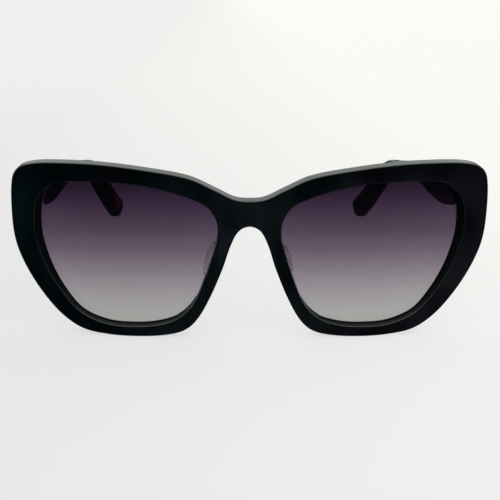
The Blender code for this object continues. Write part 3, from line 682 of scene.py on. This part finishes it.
# temples
templeShape = {
    "tipArc": 84, "tipFlat": 0.35, "tipRound": 0.65,  # degrees, then shares of the thickness
    "thick": 4.0 * mm, "edge": 1.1 * mm, "height": 12.4 * mm, "flare": 13.5 * mm,
    "shaft": 7.8 * mm, "tip": 8.8 * mm, "elbowReach": 103 * mm, "elbowHeight": 30.2 * mm,
    "toeIn": 0.055, "toeEase": 6 * mm, "toeStart": 29.57 * mm, "tipBend": 5.5 * mm,
    "pathStep": 1.2 * mm, "cornerSteps": 6, "domeSteps": 9,
    # shares of the run from the mitre to the bend, of the fall over it, and heights
    "straight": ((0.0, 0.0, 0.0), (0.13, 0.135, 0.5), (0.27, 0.31, 1.1), (0.40, 0.385, -1.4),
                 (0.53, 0.44, -4.5), (0.64, 0.55, -4.9), (0.75, 0.68, -4.8),
                 (0.88, 0.845, -4.7), (1.0, 1.0, -4.5)),
    "hook": ((0.27, 0.19), (0.50, 0.475), (0.71, 0.77)),
}


def toe(y):
    # sideways place of the temple at y: straight beside the hinge, then leaning in
    shape = templeShape
    run = max(0.0, y - shape["toeStart"])
    ease = shape["toeEase"]
    lean = shape["toeIn"] * (run * run / (2 * ease) if run < ease else run - ease / 2)
    reach = corners["temple_left"][1].y - footY
    hook = max(0.0, (y - shape["elbowReach"]) / (reach - shape["elbowReach"]))
    return -lean - shape["tipBend"] * hook * hook


def templePath():
    # (y, z, height) along the middle of the temple, from the mitre to the tip
    shape = templeShape
    low, high = corners["temple_left"]
    first = low.y - footY
    reach = high.y - footY
    start = high.z - shape["height"] / 2
    fall = shape["elbowHeight"] - start
    length = shape["elbowReach"] - first
    back = reach - shape["elbowReach"]
    tip = shape["tip"] / 2
    points = [(first + s * length, start + f * fall, shape["height"] + h * mm)
              for s, f, h in shape["straight"]]
    drop = shape["elbowHeight"] - tip
    points += [(shape["elbowReach"] + s * back, shape["elbowHeight"] - f * drop,
                shape["shaft"] + (shape["tip"] - shape["shaft"]) * s) for s, f in shape["hook"]]
    points.append((reach - tip, tip, shape["tip"]))
    return smoothPoints(points, shape["pathStep"], False)


def templeSection(height, thick):
    edge = min(templeShape["edge"], thick * 0.45, height * 0.45)
    steps = templeShape["cornerSteps"]
    points = []
    for corner in range(4):
        across = 1 if corner in (0, 3) else -1
        rise = 1 if corner in (0, 1) else -1
        for step in range(steps + 1):
            angle = corner * pi / 2 + step * pi / 2 / steps
            points.append((across * (thick / 2 - edge) + edge * cos(angle),
                           rise * (height / 2 - edge) + edge * sin(angle)))
    return points


def buildTemple():
    shape = templeShape
    path = templePath()
    stations = []
    for i, point in enumerate(path):
        along = path[min(i + 1, len(path) - 1)] - path[max(i - 1, 0)]
        up = Vector((-along.y, along.x)).normalized() if i else Vector((0.0, 1.0))
        stations.append((point.to_2d(), up, point.z, shape["thick"]))
    last, up, height, _ = stations[-1]
    onward = Vector((up.y, -up.x))
    steps = shape["domeSteps"]
    for step in range(1, steps + 1):
        angle = step * radians(shape["tipArc"]) / steps
        thick = shape["thick"] * (shape["tipFlat"] + shape["tipRound"] * cos(angle) ** 0.5)
        stations.append((last + onward * sin(angle) * height / 2, up, height * cos(angle), thick))
    middle = corners["temple_left"][1].x - shape["thick"] / 2
    rings = []
    for point, up, height, thick in stations:
        ring = []
        for across, rise in templeSection(height, thick):
            y = point.x + up.x * rise
            ring.append(Vector((middle + across + toe(y), footY + y, point.y + up.y * rise)))
        rings.append(ring)
    temple = ringPiece("templeLeft", rings)
    count = len(rings[0])
    total = len(temple.data.vertices)
    for first in (0, total - count):
        makeActive(temple)
        for face in temple.data.polygons:
            face.select = False
        for edge in temple.data.edges:
            edge.select = all(first <= v < first + count for v in edge.vertices)
        for vert in temple.data.vertices:
            vert.select = first <= vert.index < first + count
        bpy.ops.object.mode_set(mode="EDIT")
        bpy.ops.mesh.select_mode(type="EDGE")
        bpy.ops.mesh.edge_face_add()
        leaveEdit()
    editAll(temple)
    bpy.ops.mesh.normals_make_consistent(inside=False)
    leaveEdit()
    cutTempleSeat(temple)
    return shadeSmooth(temple)


def cutTempleSeat(temple):
    # pocket for the hinge leaf in the inner face, following the leaf's slope
    low, high = corners["temple_hinge_left"]
    templeLow = corners["temple_left"][0]
    gap = hingePlace["fitGap"]
    inner = corners["temple_left"][1].x - templeShape["thick"]
    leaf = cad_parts["temple_hinge_left"].data.vertices
    rear = [v.co.z for v in leaf if v.co.y > high.y - 0.2 * mm]
    pivotLow, pivotHigh = corners["hinge_screw_left"]
    slopeStart = (pivotLow.y + pivotHigh.y) / 2 + hingePlace["knuckleRadius"]
    plate = [v.co.z for v in leaf if v.co.x > inner + 0.5 * mm and v.co.y < slopeStart]
    seat = boxTool((inner - hingePlace["overshoot"], templeLow.y - hingePlace["overshoot"],
                    min(plate) - gap),
                   (inner + hingePlace["leafThick"] + gap / 2, high.y + gap, max(plate) + gap))
    editAll(seat)
    bpy.ops.mesh.bisect(plane_co=(0, slopeStart, 0), plane_no=(0, 1, 0), threshold=1e-7)
    leaveEdit()
    slope = (max(plate) - max(rear)) / (high.y - slopeStart)
    for vert in seat.data.vertices:
        vert.co.z -= slope * max(0.0, vert.co.y - slopeStart)
    combine(temple, seat, "DIFFERENCE")
    for node in ("temple_leaf_screw_front_left", "temple_leaf_screw_rear_left"):
        low, high = corners[node]
        y, z = (low.y + high.y) / 2, (low.z + high.z) / 2
        bore = rodTool((inner + 0.5 * mm, y, z), (high.x + 0.15 * mm, y, z),
                       hingePlace["boreRadius"])
        combine(temple, bore, "DIFFERENCE")


# shared effects
def newGroup(name, inputs, outputs):
    group = bpy.data.node_groups.new(name, "ShaderNodeTree")
    for label, kind, value in inputs:
        socket = group.interface.new_socket(name=label, in_out="INPUT", socket_type=kind)
        if value is not None:
            socket.default_value = value
    for label, kind in outputs:
        group.interface.new_socket(name=label, in_out="OUTPUT", socket_type=kind)
    return group, group.nodes.new("NodeGroupInput"), group.nodes.new("NodeGroupOutput")


def buildMottle():
    # slow uneven variation between 0 and 1, at a size in repeats for each metre
    group, given, out = newGroup(
        "mottle", [("Vector", "NodeSocketVector", None), ("Scale", "NodeSocketFloat", 100.0)],
        [("Value", "NodeSocketFloat")])
    noise = group.nodes.new("ShaderNodeTexNoise")
    noise.inputs["Detail"].default_value = 3
    spread = group.nodes.new("ShaderNodeMapRange")
    spread.inputs["From Min"].default_value = 0.3
    spread.inputs["From Max"].default_value = 0.7
    group.links.new(given.outputs["Vector"], noise.inputs["Vector"])
    group.links.new(given.outputs["Scale"], noise.inputs["Scale"])
    group.links.new(noise.outputs["Fac"], spread.inputs["Value"])
    group.links.new(spread.outputs["Result"], out.inputs["Value"])
    return group


def buildHairlines():
    # sparse fine scratches in two directions, as a mask
    group, given, out = newGroup(
        "hairlines", [("Vector", "NodeSocketVector", None), ("Amount", "NodeSocketFloat", 0.5)],
        [("Mask", "NodeSocketFloat")])
    masks = []
    for turn, stretch in ((25, (40, 900, 2600)), (-50, (60, 1100, 2100))):
        place = group.nodes.new("ShaderNodeMapping")
        place.inputs["Rotation"].default_value = (radians(turn), radians(turn * 0.6), 0)
        place.inputs["Scale"].default_value = stretch
        noise = group.nodes.new("ShaderNodeTexNoise")
        noise.inputs["Scale"].default_value = 1
        noise.inputs["Detail"].default_value = 1
        cut = group.nodes.new("ShaderNodeMapRange")
        cut.inputs["From Min"].default_value = 0.70
        cut.inputs["From Max"].default_value = 0.78
        group.links.new(given.outputs["Vector"], place.inputs["Vector"])
        group.links.new(place.outputs["Vector"], noise.inputs["Vector"])
        group.links.new(noise.outputs["Fac"], cut.inputs["Value"])
        masks.append(cut)
    most = group.nodes.new("ShaderNodeMath")
    most.operation = "MAXIMUM"
    share = group.nodes.new("ShaderNodeMath")
    share.operation = "MULTIPLY"
    group.links.new(masks[0].outputs["Result"], most.inputs[0])
    group.links.new(masks[1].outputs["Result"], most.inputs[1])
    group.links.new(most.outputs["Value"], share.inputs[0])
    group.links.new(given.outputs["Amount"], share.inputs[1])
    group.links.new(share.outputs["Value"], out.inputs["Mask"])
    return group


def buildEdgeWear():
    # rounded edges, where handling dulls the polish first
    group, given, out = newGroup(
        "edgeWear", [("Vector", "NodeSocketVector", None), ("Amount", "NodeSocketFloat", 0.5)],
        [("Mask", "NodeSocketFloat")])
    shape = group.nodes.new("ShaderNodeNewGeometry")
    cut = group.nodes.new("ShaderNodeMapRange")
    cut.inputs["From Min"].default_value = 0.515
    cut.inputs["From Max"].default_value = 0.60
    noise = group.nodes.new("ShaderNodeTexNoise")
    noise.inputs["Scale"].default_value = 420
    noise.inputs["Detail"].default_value = 4
    broken = group.nodes.new("ShaderNodeMath")
    broken.operation = "MULTIPLY"
    share = group.nodes.new("ShaderNodeMath")
    share.operation = "MULTIPLY"
    group.links.new(shape.outputs["Pointiness"], cut.inputs["Value"])
    group.links.new(given.outputs["Vector"], noise.inputs["Vector"])
    group.links.new(cut.outputs["Result"], broken.inputs[0])
    group.links.new(noise.outputs["Fac"], broken.inputs[1])
    group.links.new(broken.outputs["Value"], share.inputs[0])
    group.links.new(given.outputs["Amount"], share.inputs[1])
    group.links.new(share.outputs["Value"], out.inputs["Mask"])
    return group


effects = {}


def place(nodes, group, **values):
    made = nodes.new("ShaderNodeGroup")
    made.node_tree = effects[group]
    for label, value in values.items():
        made.inputs[label].default_value = value
    return made


def mixColour(nodes, links, factor, first, second):
    mix = nodes.new("ShaderNodeMix")
    mix.data_type = "RGBA"
    mix.inputs["A"].default_value = (*first, 1)
    mix.inputs["B"].default_value = (*second, 1)
    links.new(factor, mix.inputs["Factor"])
    return mix.outputs["Result"]


def mapTo(nodes, links, value, low, high):
    fit = nodes.new("ShaderNodeMapRange")
    fit.inputs["To Min"].default_value = low
    fit.inputs["To Max"].default_value = high
    links.new(value, fit.inputs["Value"])
    return fit.outputs["Result"]


def newMaterial(name):
    made = bpy.data.materials.new(name)
    made.use_nodes = True
    nodes, links = made.node_tree.nodes, made.node_tree.links
    where = nodes.new("ShaderNodeTexCoord").outputs["Object"]
    return made, nodes, links, nodes["Principled BSDF"], where


# finishes
acetate = {
    "deep": (0.0003, 0.0009, 0.0011), "light": (0.0006, 0.0014, 0.0016),
    "worn": (0.018, 0.020, 0.020), "polish": (0.03, 0.07), "milled": (0.30, 0.45),
    "milledSpecular": 0.12, "buffed": (0.16, 0.24), "buffedSpecular": 1.0, "ior": 1.49,
    "patch": {"place": (-0.0564, 0.0640, 0.0085), "turn": -38,
              "size": (0.0020, 0.0090, 0.0044), "colour": (0.30, 0.085, 0.065)},
    "ripple": 0.00001, "grain": 0.000002,
}
gradientTint = {
    "ior": 1.50, "from": 0.0, "to": 0.052,
    # share of the height, then the tint
    "stops": ((0.08, (0.50, 0.50, 0.485)), (0.152, (0.475, 0.465, 0.465)),
              (0.283, (0.390, 0.360, 0.390)), (0.41, (0.272, 0.234, 0.274)),
              (0.535, (0.167, 0.126, 0.172)), (0.658, (0.098, 0.065, 0.106)),
              (0.78, (0.058, 0.034, 0.066)), (0.84, (0.043, 0.022, 0.050)),
              (0.90, (0.024, 0.013, 0.029)), (1.0, (0.014, 0.009, 0.018))),
}
clearAcetate = {"tint": (0.90, 0.91, 0.90), "haze": (0.03, 0.08), "ior": 1.49}
steel = {
    "pale": (0.62, 0.61, 0.59), "dull": (0.40, 0.39, 0.38), "worn": (0.80, 0.79, 0.77),
    "polish": (0.22, 0.42), "brush": 0.000004,
}


def acetateMaterial(name, polish, worn, patch=None):
    made, nodes, links, shader, where = newMaterial(name)
    slow = place(nodes, "mottle", Scale=70.0)
    fine = place(nodes, "mottle", Scale=900.0)
    lines = place(nodes, "hairlines", Amount=0.6)
    wear = place(nodes, "edgeWear", Amount=worn)
    for effect in (slow, fine, lines, wear):
        links.new(where, effect.inputs["Vector"])
    base = mixColour(nodes, links, slow.outputs["Value"], acetate["deep"], acetate["light"])
    rubbed = nodes.new("ShaderNodeMix")
    rubbed.data_type = "RGBA"
    rubbed.inputs["B"].default_value = (*acetate["worn"], 1)
    links.new(base, rubbed.inputs["A"])
    links.new(wear.outputs["Mask"], rubbed.inputs["Factor"])
    colour = rubbed.outputs["Result"]
    if patch:
        # plain print worn into the inner face of one tip
        inside = nodes.new("ShaderNodeTexGradient")
        inside.gradient_type = "SPHERICAL"
        fit = nodes.new("ShaderNodeMapping")
        fit.vector_type = "TEXTURE"
        fit.inputs["Location"].default_value = patch["place"]
        fit.inputs["Rotation"].default_value = (radians(patch["turn"]), 0, 0)
        fit.inputs["Scale"].default_value = patch["size"]
        links.new(where, fit.inputs["Vector"])
        links.new(fit.outputs["Vector"], inside.inputs["Vector"])
        cut = nodes.new("ShaderNodeMapRange")
        cut.inputs["From Min"].default_value = 0.25
        cut.inputs["From Max"].default_value = 0.40
        links.new(inside.outputs["Fac"], cut.inputs["Value"])
        marked = nodes.new("ShaderNodeMix")
        marked.data_type = "RGBA"
        marked.inputs["B"].default_value = (*patch["colour"], 1)
        links.new(cut.outputs["Result"], marked.inputs["Factor"])
        links.new(colour, marked.inputs["A"])
        colour = marked.outputs["Result"]
    links.new(colour, shader.inputs["Base Color"])
    low, high = polish
    gloss = mapTo(nodes, links, slow.outputs["Value"], low, high)
    dull = nodes.new("ShaderNodeMath")
    dull.operation = "MULTIPLY_ADD"
    dull.inputs[1].default_value = 0.10
    links.new(lines.outputs["Mask"], dull.inputs[0])
    links.new(gloss, dull.inputs[2])
    edged = nodes.new("ShaderNodeMath")
    edged.operation = "MULTIPLY_ADD"
    edged.inputs[1].default_value = 0.15
    links.new(wear.outputs["Mask"], edged.inputs[0])
    links.new(dull.outputs["Value"], edged.inputs[2])
    links.new(edged.outputs["Value"], shader.inputs["Roughness"])
    shader.inputs["IOR"].default_value = acetate["ior"]
    ripple = nodes.new("ShaderNodeBump")  # the polish is never quite flat
    ripple.inputs["Distance"].default_value = acetate["ripple"]
    ripple.inputs["Strength"].default_value = 1
    links.new(slow.outputs["Value"], ripple.inputs["Height"])
    grain = nodes.new("ShaderNodeBump")
    grain.inputs["Distance"].default_value = acetate["grain"]
    grain.inputs["Strength"].default_value = 1
    links.new(fine.outputs["Value"], grain.inputs["Height"])
    links.new(ripple.outputs["Normal"], grain.inputs["Normal"])
    links.new(grain.outputs["Normal"], shader.inputs["Normal"])
    return made


def setSpecular(material, level):
    shader = material.node_tree.nodes["Principled BSDF"]
    shader.inputs["Specular IOR Level"].default_value = level


def lensMaterial():
    made, nodes, links, shader, where = newMaterial("gradientLens")
    split = nodes.new("ShaderNodeSeparateXYZ")
    links.new(where, split.inputs["Vector"])
    rise = nodes.new("ShaderNodeMapRange")
    rise.inputs["From Min"].default_value = gradientTint["from"]
    rise.inputs["From Max"].default_value = gradientTint["to"]
    links.new(split.outputs["Z"], rise.inputs["Value"])
    ramp = nodes.new("ShaderNodeValToRGB")
    setStops(ramp, gradientTint["stops"])
    links.new(rise.outputs["Result"], ramp.inputs["Fac"])
    links.new(ramp.outputs["Color"], shader.inputs["Base Color"])
    smear = place(nodes, "mottle", Scale=60.0)
    links.new(where, smear.inputs["Vector"])
    links.new(mapTo(nodes, links, smear.outputs["Value"], 0.0, 0.012), shader.inputs["Roughness"])
    shader.inputs["Transmission Weight"].default_value = 1
    shader.inputs["IOR"].default_value = gradientTint["ior"]
    return made


def padMaterial():
    made, nodes, links, shader, where = newMaterial("clearPad")
    cloud = place(nodes, "mottle", Scale=260.0)
    lines = place(nodes, "hairlines", Amount=0.3)
    for effect in (cloud, lines):
        links.new(where, effect.inputs["Vector"])
    tint = clearAcetate["tint"]
    links.new(mixColour(nodes, links, cloud.outputs["Value"], tint, tuple(c * 0.96 for c in tint)),
              shader.inputs["Base Color"])
    low, high = clearAcetate["haze"]
    links.new(mapTo(nodes, links, lines.outputs["Mask"], low, high), shader.inputs["Roughness"])
    shader.inputs["Transmission Weight"].default_value = 1
    shader.inputs["IOR"].default_value = clearAcetate["ior"]
    return made


def steelMaterial(name, stretch):
    made, nodes, links, shader, where = newMaterial(name)
    grainPlace = nodes.new("ShaderNodeMapping")
    grainPlace.inputs["Scale"].default_value = stretch
    links.new(where, grainPlace.inputs["Vector"])
    brush = nodes.new("ShaderNodeTexNoise")
    brush.inputs["Scale"].default_value = 1
    brush.inputs["Detail"].default_value = 3
    links.new(grainPlace.outputs["Vector"], brush.inputs["Vector"])
    blotch = place(nodes, "mottle", Scale=500.0)
    wear = place(nodes, "edgeWear", Amount=1.0)
    for effect in (blotch, wear):
        links.new(where, effect.inputs["Vector"])
    base = mixColour(nodes, links, blotch.outputs["Value"], steel["pale"], steel["dull"])
    bright = nodes.new("ShaderNodeMix")
    bright.data_type = "RGBA"
    bright.inputs["B"].default_value = (*steel["worn"], 1)
    links.new(base, bright.inputs["A"])
    links.new(wear.outputs["Mask"], bright.inputs["Factor"])
    links.new(bright.outputs["Result"], shader.inputs["Base Color"])
    low, high = steel["polish"]
    links.new(mapTo(nodes, links, brush.outputs["Fac"], low, high), shader.inputs["Roughness"])
    shader.inputs["Metallic"].default_value = 1
    bump = nodes.new("ShaderNodeBump")
    bump.inputs["Distance"].default_value = steel["brush"]
    bump.inputs["Strength"].default_value = 1
    links.new(brush.outputs["Fac"], bump.inputs["Height"])
    links.new(bump.outputs["Normal"], shader.inputs["Normal"])
    return made


def finishPiece(piece, material, body, slot, *nodes):
    if material:
        piece.data.materials.clear()
        piece.data.materials.append(material)
    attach(piece, body)
    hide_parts(*nodes)


print("studio")
deselectAll()
buildCamera()
buildFloor()
buildLight()
buildSky()
bpy.context.scene.view_settings.view_transform = "Standard"

print("finishes")
effects["mottle"] = buildMottle()
effects["hairlines"] = buildHairlines()
effects["edgeWear"] = buildEdgeWear()
blackFront = acetateMaterial("blackAcetateFront", acetate["polish"], 0.2)
milledWall = acetateMaterial("milledAcetateWall", acetate["milled"], 0.1)
setSpecular(milledWall, acetate["milledSpecular"])
# heavy edge wear on the opening's round: partly real wear, partly a painted highlight line along
# the arris
buffedRoundWearAndHighlight = acetateMaterial("buffedOpeningEdgeWearAndHighlight", acetate["buffed"], 0.9)
setSpecular(buffedRoundWearAndHighlight, acetate["buffedSpecular"])
blackTemple = acetateMaterial("blackAcetateTemple", acetate["polish"], 0.2, acetate["patch"])
tinted = lensMaterial()
clear = padMaterial()
leafSteel = steelMaterial("brushedLeaf", (300, 5000, 300))
screwSteel = steelMaterial("turnedScrew", (4000, 4000, 800))
wireSteel = steelMaterial("drawnWire", (6000, 150, 6000))

print("front")
front = shadeSmooth(buildFront())
finishPiece(front, None, "front_frame", "black_acetate", "front")

print("lenses and nose pads")
lens = buildLens()
otherLens = mirroredCopy(lens, "lensRight")
pad = buildPad()
otherPad = mirroredCopy(pad, "nosePadRight")
for piece, side in ((lens, "left"), (otherLens, "right")):
    finishPiece(piece, tinted, "front_frame", "gradient_lens", f"lens_{side}")
for piece, side in ((pad, "left"), (otherPad, "right")):
    finishPiece(piece, clear, "front_frame", "clear_acetate", f"nose_pad_{side}")

print("temples")
temple = buildTemple()
otherTemple = mirroredCopy(temple, "templeRight")
for piece, side in ((temple, "left"), (otherTemple, "right")):
    finishPiece(piece, blackTemple, f"temple_{side}_arm", "black_acetate", f"temple_{side}")

print("hinges, screws and core wires")
for name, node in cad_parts.items():
    if "hinge_screw" in name or "leaf_screw" in name:
        node.data.materials[0] = screwSteel
    elif "hinge" in name:
        node.data.materials[0] = leafSteel
    elif "core_wire" in name:
        node.data.materials[0] = wireSteel
